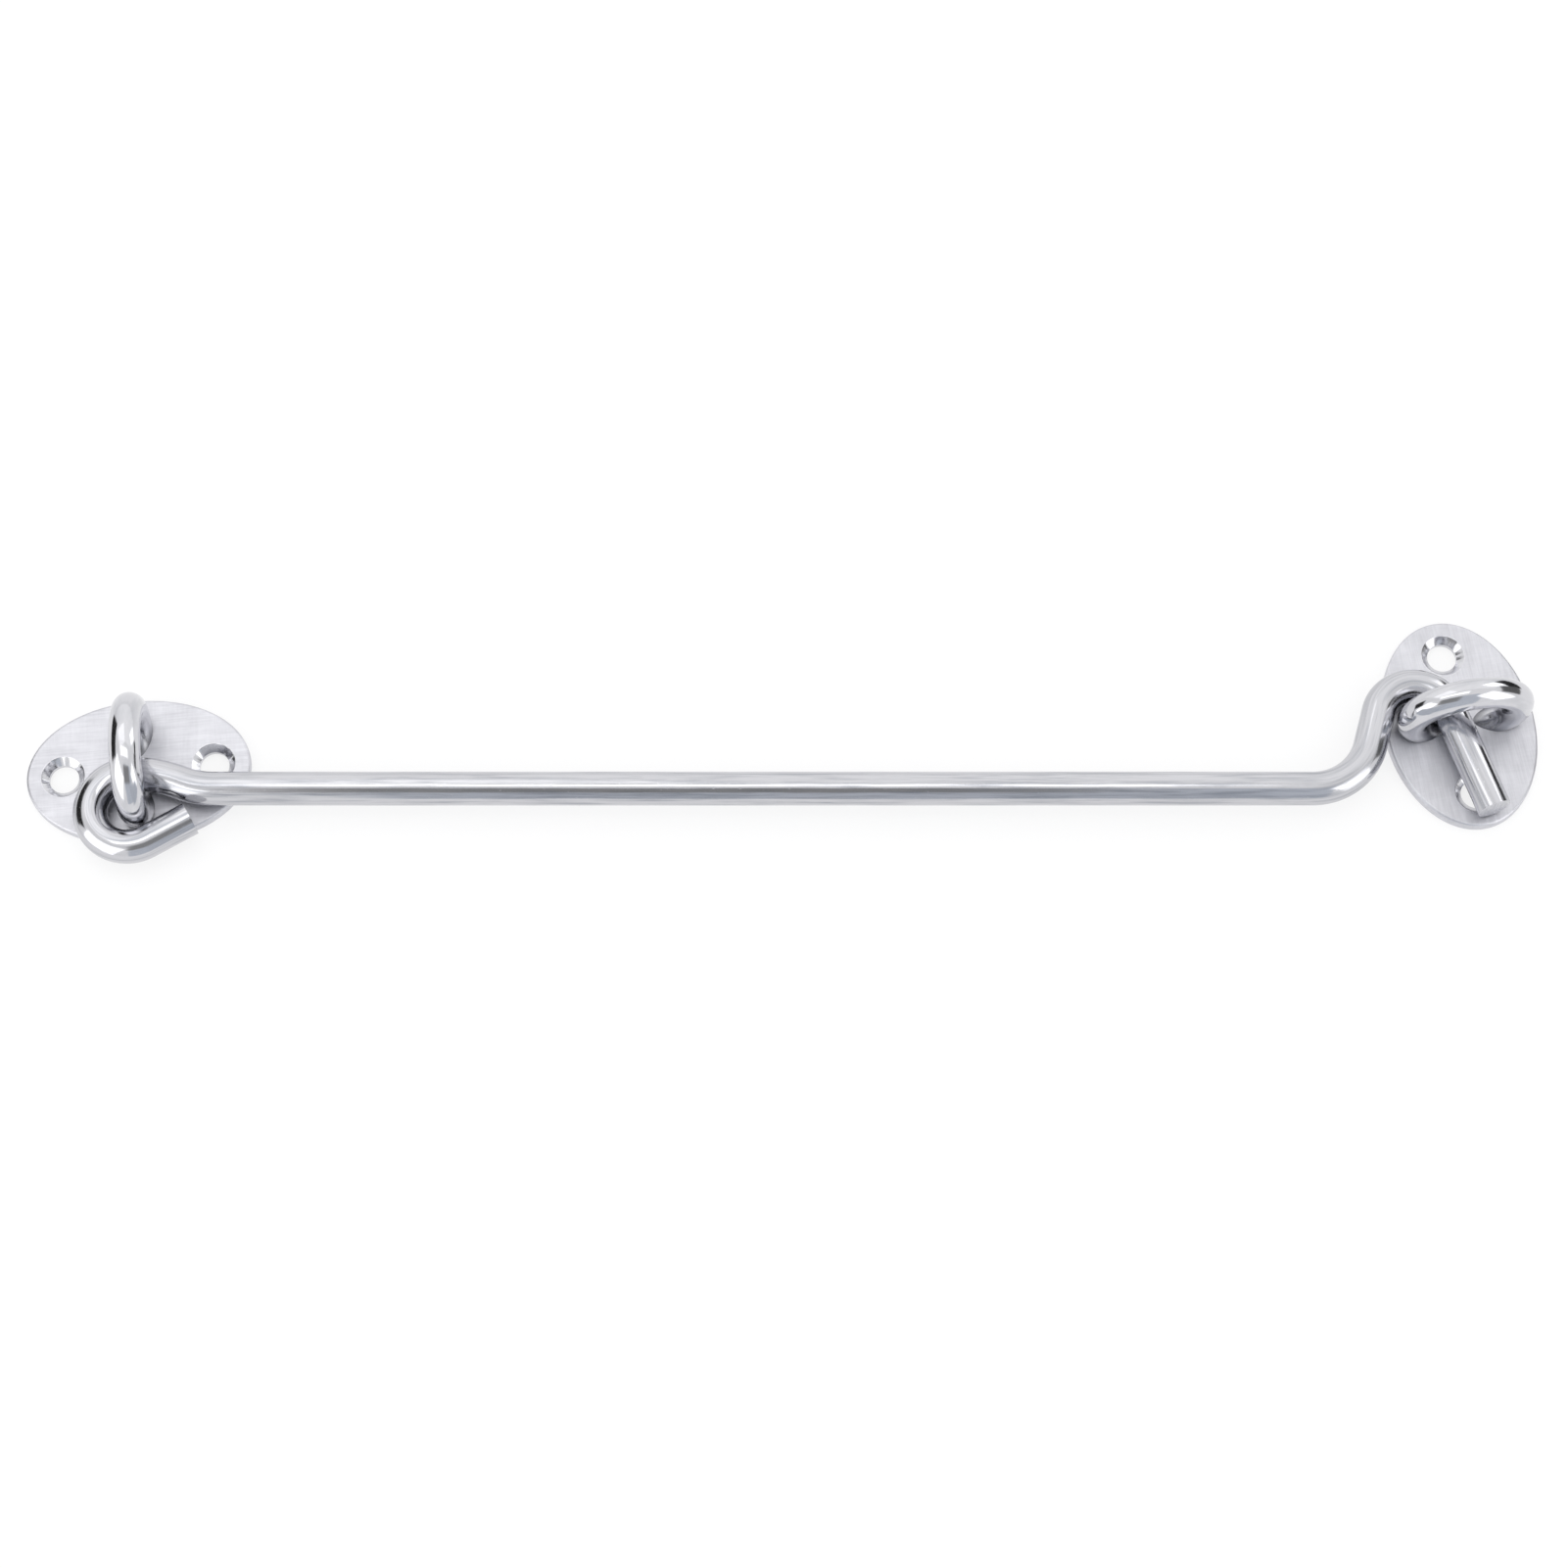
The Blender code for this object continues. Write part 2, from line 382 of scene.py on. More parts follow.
@dataclass(frozen=True)
class SteelFinish:
    """Stainless steel (AISI 304), pale grey and a little cool, with a finish of its own.

    The IOR stays at the default, because a metal's reflection comes from its base colour. Where a
    staple meets its plate, its colour is darkened with painted shade and its roughness is raised. A
    band is the part of a pattern's values, 0 to 1, over which a mark fades in. Each finish is laid out
    on the attribute that laid_on names.
    """

    name: str
    colour: str
    roughness: float
    laid_on: str = STRAIGHT_WIRE
    # Painted shade: the dark grey that the colour is mixed towards where a staple meets its plate
    painted_shade_colour: str = "#58595e"
    contact_roughness: float = 0.34

    def surface(self, tree: Tree, place: Socket) -> tuple[Socket, Socket, Socket]:
        """Makes the clean steel.

        Args:
            tree: The material's tree.
            place: The coordinates that its marks are laid out on.

        Returns:
            Its colour, its roughness and the height of its marks in metres.
        """
        raise NotImplementedError

    def material(self) -> bpy.types.Material:
        """Lays painted shade, with a duller roughness, over the clean steel by the stored share.

        Returns:
            The finished material.
        """
        material = bpy.data.materials.new(self.name)
        material.use_nodes = True
        tree = material.node_tree
        place, shade_attribute = (
            add_node(tree, "ShaderNodeAttribute", attribute_name=name, attribute_type="GEOMETRY")
            for name in (self.laid_on, PAINTED_SHADE)
        )
        colour, roughness, height = self.surface(tree, place.outputs["Vector"])
        share = shade_attribute.outputs["Fac"]
        # Painted shade: the colour is darkened by the stored share near the plate
        dark = add_node(
            tree,
            "ShaderNodeMix",
            {"Factor": share, "A": colour, "B": linear(self.painted_shade_colour)},
            data_type="RGBA",
        ).outputs["Result"]
        dull = add_node(
            tree,
            "ShaderNodeMix",
            {"Factor": share, "A": roughness, "B": self.contact_roughness},
            data_type="FLOAT",
        ).outputs["Result"]
        bump = add_node(
            tree, "ShaderNodeBump", {"Height": height, "Distance": 1.0, "Strength": 1.0}
        ).outputs[0]
        shader = tree.nodes["Principled BSDF"]
        shader.inputs["Metallic"].default_value = 1.0
        for source, name in ((dark, "Base Color"), (dull, "Roughness"), (bump, "Normal")):
            tree.links.new(source, shader.inputs[name])
        return material

    @staticmethod
    def streaks(
        tree: Tree,
        place: Socket,
        size: tuple[float, float, float],
        detail: float = 3.0,
        fading: float = 0.6,
    ) -> Socket:
        """Noise that is drawn out along its longest side.

        Args:
            tree: The material's tree.
            place: The coordinates.
            size: How large a streak is along each axis.
            detail: How many finer layers the noise has.
            fading: How strong each finer layer is beside the last.

        Returns:
            A value of 0 to 1, mostly near 0.5.
        """
        scale = tuple(1 / length for length in size)
        drawn = add_node(tree, "ShaderNodeMapping", {"Vector": place, "Scale": scale}).outputs[0]
        return add_node(
            tree,
            "ShaderNodeTexNoise",
            {"Vector": drawn, "Scale": 1.0, "Detail": detail, "Roughness": fading},
        ).outputs[0]

    def stained(self, tree: Tree, stain: str, *layers: tuple[Socket, Band, float]) -> Socket:
        """Mixes a stain into the steel's colour.

        Args:
            tree: The material's tree.
            stain: The stain's colour.
            *layers: A pattern, its band, and the share of stain at the band's end.

        Returns:
            The colour.
        """
        share = 0.0
        for pattern, band, most in layers:
            part = add_node(tree, "ShaderNodeMapRange", (pattern, *band, 0.0, most)).outputs[0]
            share = add_node(
                tree, "ShaderNodeMath", (share, part), operation="ADD", use_clamp=True
            ).outputs[0]
        return add_node(
            tree,
            "ShaderNodeMix",
            {"Factor": share, "A": linear(self.colour), "B": linear(stain)},
            data_type="RGBA",
        ).outputs["Result"]

    @staticmethod
    def relief(tree: Tree, *layers: tuple[Socket, float]) -> Socket:
        """Adds layers of marks up to one height.

        Args:
            tree: The material's tree.
            *layers: A pattern of 0 to 1, and the depth that 1 stands for.

        Returns:
            The height in metres.
        """
        height = 0.0
        for pattern, depth in layers:
            height = add_node(
                tree, "ShaderNodeMath", (pattern, depth, height), operation="MULTIPLY_ADD"
            ).outputs[0]
        return height


@dataclass(frozen=True)
class DrawnWire(SteelFinish):
    """Bright-drawn stainless wire, for the hook.

    It was pulled cold through a die, so fine lines run along it and round every bend with it, and they
    draw its highlights out into long, ragged streaks. Wider, duller streaks are where the drawing soap
    burnt on and was half polished off, and small pits lie between. The marks are laid out on the
    straight wire, the shape that it had before it was bent. Real die lines are about 0.05 mm apart;
    these are 0.45 mm apart, coarse enough to show.
    """

    line_spacing: float = 0.45 * MM
    line_length: float = 14 * MM
    line_depth: float = 0.009 * MM
    line_band: Band = (0.5, 0.8)
    line_stain: float = 0.5
    gloss_band: Band = (0.3, 0.7)
    gloss_swing: float = 0.06
    soap_width: float = 0.9 * MM
    soap_length: float = 16 * MM
    soap_band: Band = (0.46, 0.72)
    soap_stain: float = 0.6
    dull_band: Band = (0.45, 0.75)
    dulling: float = 0.1
    stain_colour: str = "#94979e"
    wave_width: float = 3 * MM
    wave_length: float = 8 * MM
    wave_depth: float = 0.04 * MM
    pit_width: float = 0.5 * MM
    pit_length: float = 0.8 * MM
    pit_band: Band = (0.68, 0.74)

    def surface(self, tree: Tree, place: Socket) -> tuple[Socket, Socket, Socket]:
        """Makes the clean steel.

        Args:
            tree: The material's tree.
            place: The coordinates that its marks are laid out on.

        Returns:
            Its colour, its roughness and the height of its marks in metres.
        """
        lines = self.streaks(tree, place, (self.line_spacing, self.line_spacing, self.line_length))
        soap = self.streaks(tree, place, (self.soap_width, self.soap_width, self.soap_length))
        waves = self.streaks(tree, place, (self.wave_width, self.wave_width, self.wave_length), 0.0)
        flecks = self.streaks(tree, place, (self.pit_width, self.pit_width, self.pit_length))
        colour = self.stained(
            tree,
            self.stain_colour,
            (soap, self.soap_band, self.soap_stain),
            (lines, self.line_band, self.line_stain),
        )
        swing = (self.roughness - self.gloss_swing, self.roughness + self.gloss_swing)
        gloss = add_node(tree, "ShaderNodeMapRange", (lines, *self.gloss_band, *swing)).outputs[0]
        dull = add_node(tree, "ShaderNodeMapRange", (soap, *self.dull_band, 0.0, self.dulling)).outputs[0]
        roughness = add_node(tree, "ShaderNodeMath", (dull, gloss), operation="ADD").outputs[0]
        pits = add_node(tree, "ShaderNodeMapRange", (flecks, *self.pit_band, 0.0, 1.0)).outputs[0]
        height = self.relief(
            tree, (lines, self.line_depth), (waves, self.wave_depth), (pits, -self.line_depth)
        )
        return colour, roughness, height


@dataclass(frozen=True)
class PolishedWire(SteelFinish):
    """Tumble-polished stainless wire, for the staples.

    It was bent and then tumbled bright, so it is a mirror with soft waves in it, a faint haze in
    patches, and hairlines along it that show at the edges of its reflections. Real hairlines are about
    0.02 mm apart; these are 0.35 mm apart, coarse enough to show.
    """

    hairline_spacing: float = 0.35 * MM
    hairline_length: float = 5 * MM
    hairline_depth: float = 0.003 * MM
    gloss_band: Band = (0.35, 0.65)
    gloss_swing: float = 0.07
    haze_width: float = 2.5 * MM
    haze_length: float = 6 * MM
    haze_band: Band = (0.45, 0.75)
    haze_share: float = 0.6
    haze_colour: str = "#b4b6bb"
    wave_width: float = 2.5 * MM
    wave_length: float = 3.75 * MM
    wave_depth: float = 0.012 * MM

    def surface(self, tree: Tree, place: Socket) -> tuple[Socket, Socket, Socket]:
        """Makes the clean steel.

        Args:
            tree: The material's tree.
            place: The coordinates that its marks are laid out on.

        Returns:
            Its colour, its roughness and the height of its marks in metres.
        """
        lines = self.streaks(
            tree, place, (self.hairline_spacing, self.hairline_spacing, self.hairline_length)
        )
        haze = self.streaks(tree, place, (self.haze_width, self.haze_width, self.haze_length))
        waves = self.streaks(tree, place, (self.wave_width, self.wave_width, self.wave_length), 0.0)
        colour = self.stained(tree, self.haze_colour, (haze, self.haze_band, self.haze_share))
        swing = (self.roughness, self.roughness + self.gloss_swing)
        roughness = add_node(tree, "ShaderNodeMapRange", (lines, *self.gloss_band, *swing)).outputs[0]
        height = self.relief(tree, (lines, self.hairline_depth), (waves, self.wave_depth))
        return colour, roughness, height


@dataclass(frozen=True)
class SatinSheet(SteelFinish):
    """Satin stainless sheet, for the plates.

    It was ground on a fine belt before it was stamped, first along the plate and then lightly across,
    so reflections blur into soft bands that cross its hairlines, with faint clouds where the belt bore
    harder. Belt grit of 180 leaves lines about 0.08 mm apart; these are 0.3 mm apart, coarse enough to
    show.
    """

    laid_on: str = SHEET_PLACE
    grain_spacing: float = 0.3 * MM
    grain_length: float = 7 * MM
    grain_depth: float = 0.002 * MM
    crossing_spacing: float = 0.36 * MM
    crossing_length: float = 3.5 * MM
    crossing_share: float = 0.3
    grain_band: Band = (0.35, 0.65)
    grain_stain: float = 0.5
    gloss_swing: float = 0.03
    cloud_width: float = 5 * MM
    cloud_length: float = 8 * MM
    cloud_band: Band = (0.4, 0.7)
    cloud_stain: float = 0.5
    cloud_colour: str = "#c2c2c7"

    def surface(self, tree: Tree, place: Socket) -> tuple[Socket, Socket, Socket]:
        """Makes the clean steel.

        Args:
            tree: The material's tree.
            place: The coordinates that its marks are laid out on.

        Returns:
            Its colour, its roughness and the height of its marks in metres.
        """
        along = self.streaks(tree, place, (self.grain_length, self.grain_spacing, self.grain_spacing))
        across = self.streaks(
            tree, place, (self.crossing_spacing, self.crossing_length, self.crossing_spacing)
        )
        clouds = self.streaks(tree, place, (self.cloud_length, self.cloud_width, self.cloud_width))
        grain = add_node(
            tree,
            "ShaderNodeMix",
            {"Factor": self.crossing_share, "A": along, "B": across},
            data_type="FLOAT",
        ).outputs["Result"]
        colour = self.stained(
            tree,
            self.cloud_colour,
            (clouds, self.cloud_band, self.cloud_stain),
            (grain, self.grain_band, self.grain_stain),
        )
        swing = (self.roughness - self.gloss_swing, self.roughness + self.gloss_swing)
        roughness = add_node(tree, "ShaderNodeMapRange", (grain, *self.grain_band, *swing)).outputs[0]
        return colour, roughness, self.relief(tree, (grain, self.grain_depth))


@dataclass(frozen=True)
class TurnedHole(SteelFinish):
    """Turned stainless steel, for the countersinks.

    A tool cut them after the sheet was ground, which leaves bright rings round the hole, and flats
    where the tool chattered, so each countersink shows a few light and dark patches. Such a tool leaves
    rings about 0.05 mm apart; these are 0.16 mm apart, coarse enough to show.
    """

    laid_on: str = HOLE_PLACE
    ring_spacing: float = 0.16 * MM
    ring_depth: float = 0.004 * MM
    ring_band: Band = (0.5, 0.8)
    ring_stain: float = 0.5
    stain_colour: str = "#b9bbbf"
    gloss_band: Band = (0.3, 0.7)
    gloss_swing: Band = (-0.03, 0.05)
    chatter: float = 1.1
    chatter_rounding: float = 0.25
    chatter_depth: float = 0.5 * MM

    def surface(self, tree: Tree, place: Socket) -> tuple[Socket, Socket, Socket]:
        """Makes the clean steel.

        Args:
            tree: The material's tree.
            place: The coordinates that its marks are laid out on.

        Returns:
            Its colour, its roughness and the height of its marks in metres.
        """
        flat = add_node(tree, "ShaderNodeVectorMath", (place, (1, 1, 0)), operation="MULTIPLY").outputs[0]
        reach = add_node(tree, "ShaderNodeVectorMath", (flat,), operation="LENGTH").outputs["Value"]
        turn = add_node(
            tree, "ShaderNodeMath", (reach, self.ring_spacing), operation="DIVIDE"
        ).outputs[0]
        rings = add_node(tree, "ShaderNodeTexNoise", {"W": turn}, noise_dimensions="1D").outputs[0]
        way = add_node(tree, "ShaderNodeVectorMath", (flat,), operation="NORMALIZE").outputs[0]
        flats = add_node(
            tree,
            "ShaderNodeTexVoronoi",
            {"Vector": way, "Scale": self.chatter, "Smoothness": self.chatter_rounding},
            feature="SMOOTH_F1",
        ).outputs["Distance"]
        colour = self.stained(tree, self.stain_colour, (rings, self.ring_band, self.ring_stain))
        swing = (self.roughness + change for change in self.gloss_swing)
        roughness = add_node(tree, "ShaderNodeMapRange", (rings, *self.gloss_band, *swing)).outputs[0]
        height = self.relief(tree, (flats, self.chatter_depth), (rings, self.ring_depth))
        return colour, roughness, height


@dataclass(frozen=True)
class SawnEnd(SteelFinish):
    """Sawn stainless steel, for the hook's two cut ends.

    A saw cut the wire to length, which leaves straight scratches all one way, so the ends look a little
    dull and lined beside the bright wire. A fine saw's scratches are about 0.1 mm apart; these are
    0.22 mm apart, coarse enough to show.
    """

    scratch_spacing: float = 0.22 * MM
    scratch_length: float = 5 * MM
    scratch_depth: float = 0.012 * MM
    scratch_band: Band = (0.4, 0.7)
    scratch_stain: float = 1.0
    stain_colour: str = "#b2b3b8"
    gloss_band: Band = (0.3, 0.7)
    gloss_swing: float = 0.06

    def surface(self, tree: Tree, place: Socket) -> tuple[Socket, Socket, Socket]:
        """Makes the clean steel.

        Args:
            tree: The material's tree.
            place: The coordinates that its marks are laid out on.

        Returns:
            Its colour, its roughness and the height of its marks in metres.
        """
        size = (self.scratch_spacing, self.scratch_length, self.scratch_spacing)
        scratches = self.streaks(tree, place, size)
        colour = self.stained(
            tree, self.stain_colour, (scratches, self.scratch_band, self.scratch_stain)
        )
        swing = (self.roughness - self.gloss_swing, self.roughness + self.gloss_swing)
        roughness = add_node(
            tree, "ShaderNodeMapRange", (scratches, *self.gloss_band, *swing)
        ).outputs[0]
        return colour, roughness, self.relief(tree, (scratches, self.scratch_depth))


@dataclass
class WirePiece:
    """A length of round wire, swept along a route by one Geometry Nodes tree that all wires share."""

    diameter: float
    sides: int = 64
    cut_rounding: float = 0.4 * MM
    rounding_steps: int = 5
    bend_step: float = math.radians(2.0)

    @staticmethod
    @cache
    def sweep_tree() -> Tree:
        """The tree that sweeps a round section along a curve and keeps its place on the straight wire.

        Returns:
            The tree, made on the first call.
        """
        tree, given = new_tree(
            "wire_sweep",
            {
                "Wire Radius": ("NodeSocketFloat", 3 * MM),
                "Sides": ("NodeSocketInt", 64),
                "Finish": ("NodeSocketMaterial", None),
                "Cut Finish": ("NodeSocketMaterial", None),
            },
        )
        length = add_node(tree, "GeometryNodeSplineParameter").outputs["Length"]
        marked = add_node(
            tree,
            "GeometryNodeStoreNamedAttribute",
            {"Geometry": given["Geometry"], "Name": "run", "Value": length},
            data_type="FLOAT",
            domain="POINT",
        ).outputs[0]
        circle = add_node(
            tree,
            "GeometryNodeCurvePrimitiveCircle",
            {"Resolution": given["Sides"], "Radius": given["Wire Radius"]},
        ).outputs[0]
        place = add_node(tree, "GeometryNodeInputPosition").outputs[0]
        section = add_node(
            tree,
            "GeometryNodeStoreNamedAttribute",
            {"Geometry": circle, "Name": "ring", "Value": place},
            data_type="FLOAT_VECTOR",
            domain="POINT",
        ).outputs[0]
        swept = add_node(
            tree,
            "GeometryNodeCurveToMesh",
            {"Curve": marked, "Profile Curve": section, "Fill Caps": True},
        ).outputs[0]
        ring = add_node(
            tree, "GeometryNodeInputNamedAttribute", {"Name": "ring"}, data_type="FLOAT_VECTOR"
        ).outputs["Attribute"]
        run = add_node(
            tree, "GeometryNodeInputNamedAttribute", {"Name": "run"}, data_type="FLOAT"
        ).outputs["Attribute"]
        parts = add_node(tree, "ShaderNodeSeparateXYZ", {0: ring})
        skin = add_node(
            tree, "ShaderNodeCombineXYZ", {0: parts.outputs[0], 1: parts.outputs[1], 2: run}
        ).outputs[0]
        skinned = add_node(
            tree,
            "GeometryNodeStoreNamedAttribute",
            {"Geometry": swept, "Name": STRAIGHT_WIRE, "Value": skin},
            data_type="FLOAT_VECTOR",
            domain="POINT",
        ).outputs[0]
        # The swept faces have four corners, and the two cut ends have more.
        corners = add_node(tree, "GeometryNodeInputMeshFaceNeighbors").outputs["Vertex Count"]
        side = add_node(
            tree, "FunctionNodeCompare", {2: corners, 3: 4}, data_type="INT", operation="EQUAL"
        ).outputs[0]
        cut = add_node(tree, "FunctionNodeBooleanMath", {0: side}, operation="NOT").outputs[0]
        smooth = add_node(
            tree, "GeometryNodeSetShadeSmooth", {"Geometry": skinned, "Shade Smooth": side}
        ).outputs[0]
        real = add_node(tree, "GeometryNodeRealizeInstances", {0: smooth}).outputs[0]
        finished = add_node(
            tree, "GeometryNodeSetMaterial", {"Geometry": real, "Material": given["Finish"]}
        ).outputs[0]
        finished = add_node(
            tree,
            "GeometryNodeSetMaterial",
            {"Geometry": finished, "Selection": cut, "Material": given["Cut Finish"]},
        ).outputs[0]
        add_node(tree, "NodeGroupOutput", {0: finished})
        return tree

    def path_object(self, name: str, points: list[Vector]) -> bpy.types.Object:
        """Lays a centreline as a curve whose radius carries the rounding of its cut ends.

        Args:
            name: The piece's name.
            points: The centreline, from one cut end to the other.

        Returns:
            The curve object that a tree can sweep.
        """
        curve = bpy.data.curves.new(name, "CURVE")
        curve.dimensions = "3D"
        path = self.with_rounded_ends(points)
        spline = curve.splines.new("POLY")
        spline.points.add(len(path) - 1)
        for slot, (point, share) in zip(spline.points, path):
            slot.co = (*point, 1)
            slot.radius = share
        return in_scene(name, curve)

    def with_rounded_ends(self, points: list[Vector]) -> list[tuple[Vector, float]]:
        """Lays the rounding of both cut ends into a centreline.

        Args:
            points: The centreline, whose first and last runs are longer than the rounding.

        Returns:
            Each point, with the wire's thickness there as a share of the full one.
        """
        radius, rounding = self.diameter / 2, self.cut_rounding
        ends = []
        for end, inner in ((points[0], points[1]), (points[-1], points[-2])):
            inward = (inner - end).normalized()
            steps = [i * math.pi / 2 / self.rounding_steps for i in range(self.rounding_steps + 1)]
            ends.append(
                [
                    (
                        end + inward * rounding * (1 - math.sin(t)),
                        1 - rounding * (1 - math.cos(t)) / radius,
                    )
                    for t in reversed(steps)
                ]
            )
        first, last = ends
        return first + [(point, 1.0) for point in points[1:-1]] + last[::-1]


@dataclass
class Hook(WirePiece):
    """The hook: a closed eye, a neck, the rod, a riser, the return bend and the tip, all one wire."""

    diameter: float = 6.0 * MM
    height: float = 5.5 * MM
    eye_centre: tuple[float, float] = (-0.2095 * MM, -9.0163 * MM)
    tail: float = 8.5 * MM
    eye_radius: float = 6.9 * MM
    eye_turn: float = math.radians(212)
    shoulder_radius: float = 25.0 * MM
    shoulder_turn: float = math.radians(20.2)
    neck_radius: float = 15.8 * MM
    neck_turn: float = math.radians(21.4)
    rod: float = 194.0 * MM
    riser_radius: float = 11.3 * MM
    riser_turn: float = math.radians(73.7)
    riser: float = 7.1 * MM
    bend_radius: float = 6.6 * MM
    bend_turn: float = math.radians(144.8)
    tip: float = 20.1 * MM
    tail_points: int = 4
    rod_points: int = 60
    riser_points: int = 3
    tip_points: int = 8

    def centreline(self) -> list[Vector]:
        """Walks the hook from the eye's cut end to the tip.

        Returns:
            The centreline, in place.
        """
        start = self.eye_turn + self.shoulder_turn - self.neck_turn
        route = Route(Vector((0, 0)), start, self.bend_step)
        route.run(self.tail, self.tail_points)
        centre = route.bend(self.eye_radius, -self.eye_turn)
        route.bend(self.shoulder_radius, -self.shoulder_turn)
        route.bend(self.neck_radius, self.neck_turn)
        route.run(self.rod, self.rod_points)
        route.bend(self.riser_radius, self.riser_turn)
        route.run(self.riser, self.riser_points)
        route.bend(self.bend_radius, -self.bend_turn)
        route.run(self.tip, self.tip_points)
        shift = Vector(self.eye_centre) - centre
        return [Vector((*(point + shift), self.height)) for point in route.points]

    def build(self, finish: bpy.types.Material, cut_finish: bpy.types.Material) -> bpy.types.Object:
        """Makes the hook and rides it on its body.

        Args:
            finish: The wire's material.
            cut_finish: The material of its two cut ends.

        Returns:
            The hook.
        """
        source = self.path_object("hook", self.centreline())
        values = {
            "Wire Radius": self.diameter / 2,
            "Sides": self.sides,
            "Finish": finish,
            "Cut Finish": cut_finish,
        }
        piece = grown(source, self.sweep_tree(), values)
        settled(piece, "hook_arm", Body.HOOK)
        return piece


@dataclass
class Staple(WirePiece):
    """The horseshoe of wire on one plate: most of an ellipse, with a riveted pin under each foot."""

    diameter: float = 5.5 * MM
    cut_rounding: float = 0.2 * MM
    span: float = 19.0 * MM
    height: float = 13.0 * MM
    foot_spacing: float = 15.0 * MM
    plate_thickness: float = 2.0 * MM
    past_seat: float = 5.5 * MM
    pin: float = 4.5 * MM
    pin_recess: float = 0.05 * MM

    def centreline(self) -> list[Vector]:
        """The ellipse from foot to foot, drawn past the seat that it is then cut flat at.

        Returns:
            The centreline in the plate's own frame.
        """
        foot_angle = math.acos(self.foot_spacing / self.span)
        half_height = self.height / (1 + math.sin(foot_angle))
        centre = self.plate_thickness + self.height - half_height
        past = foot_angle + self.past_seat / half_height
        sweep = math.pi + 2 * past
        count = math.ceil(sweep / self.bend_step)
        turns = [-past + sweep * i / count for i in range(count + 1)]
        return [
            Vector((0, self.span / 2 * math.cos(turn), centre + half_height * math.sin(turn)))
            for turn in turns
        ]

    @staticmethod
    @cache
    def riveted_tree() -> Tree:
        """The tree that sweeps the wire, cuts it at its seat and joins a pin to each foot.

        Returns:
            The tree, made on the first call.
        """
        tree, given = new_tree(
            "riveted_staple",
            {
                "Wire Radius": ("NodeSocketFloat", 2.75 * MM),
                "Sides": ("NodeSocketInt", 64),
                "Finish": ("NodeSocketMaterial", None),
                "Span": ("NodeSocketFloat", 19 * MM),
                "Foot Spacing": ("NodeSocketFloat", 15 * MM),
                "Pin Radius": ("NodeSocketFloat", 2.25 * MM),
                "Pin Low": ("NodeSocketFloat", 0.0),
                "Pin High": ("NodeSocketFloat", 2 * MM),
                "Seat Height": ("NodeSocketFloat", 2 * MM),
            },
        )
        swept = tree.nodes.new("GeometryNodeGroup")
        swept.node_tree = WirePiece.sweep_tree()
        for label in ("Geometry", "Wire Radius", "Sides", "Finish"):
            tree.links.new(given[label], swept.inputs[label])
        ends = (given["Pin High"], given["Pin Low"])
        height = add_node(tree, "ShaderNodeMath", ends, operation="SUBTRACT").outputs[0]
        total = add_node(tree, "ShaderNodeMath", ends, operation="ADD").outputs[0]
        middle = add_node(tree, "ShaderNodeMath", (total, 0.5), operation="MULTIPLY").outputs[0]
        pin = add_node(
            tree,
            "GeometryNodeMeshCylinder",
            {"Vertices": given["Sides"], "Radius": given["Pin Radius"], "Depth": height},
        ).outputs[0]
        pin = add_node(
            tree,
            "GeometryNodeStoreNamedAttribute",
            {
                "Geometry": pin,
                "Name": STRAIGHT_WIRE,
                "Value": add_node(tree, "GeometryNodeInputPosition").outputs[0],
            },
            data_type="FLOAT_VECTOR",
            domain="POINT",
        ).outputs[0]
        pins = stood_twice(tree, pin, given["Foot Spacing"], 1, middle)
        size = add_node(tree, "ShaderNodeMath", (given["Span"], 2.0), operation="MULTIPLY").outputs[0]
        block = add_node(tree, "GeometryNodeMeshCube", {"Size": size}).outputs[0]
        drop = add_node(
            tree, "ShaderNodeMath", (given["Seat Height"], given["Span"]), operation="SUBTRACT"
        ).outputs[0]
        place = add_node(tree, "ShaderNodeCombineXYZ", {2: drop}).outputs[0]
        below = add_node(tree, "GeometryNodeTransform", {"Geometry": block, "Translation": place})
        cut = add_node(
            tree,
            "GeometryNodeMeshBoolean",
            {"Mesh 1": swept.outputs[0], "Mesh 2": below.outputs[0]},
            operation="DIFFERENCE",
            solver="EXACT",
        ).outputs[0]
        joined = add_node(
            tree, "GeometryNodeMeshBoolean", {"Mesh 2": cut}, operation="UNION", solver="EXACT"
        )
        tree.links.new(pins, joined.inputs["Mesh 2"])
        shaded = smooth_between_edges(tree, joined.outputs[0])
        finished = add_node(
            tree, "GeometryNodeSetMaterial", {"Geometry": shaded, "Material": given["Finish"]}
        ).outputs[0]
        add_node(tree, "NodeGroupOutput", {0: finished})
        return tree

    def build(self, side: Side, place: Matrix, finish: bpy.types.Material) -> bpy.types.Object:
        """Makes the staple and rides it on the plates' body.

        Args:
            side: Which end of the latch.
            place: Where the plate stands.
            finish: The wire's material.

        Returns:
            The staple.
        """
        source = self.path_object(f"{side.value}_loop", self.centreline())
        values = {
            "Wire Radius": self.diameter / 2,
            "Sides": self.sides,
            "Finish": finish,
            "Span": self.span,
            "Foot Spacing": self.foot_spacing,
            "Pin Radius": self.pin / 2,
            "Pin Low": self.pin_recess,
            "Pin High": self.plate_thickness + self.pin_recess,
            "Seat Height": self.plate_thickness - self.pin_recess,
        }
        piece = grown(source, self.riveted_tree(), values)
        piece.data.transform(place)
        settled(piece, f"{side.value}_staple", Body.PLATES)
        return piece


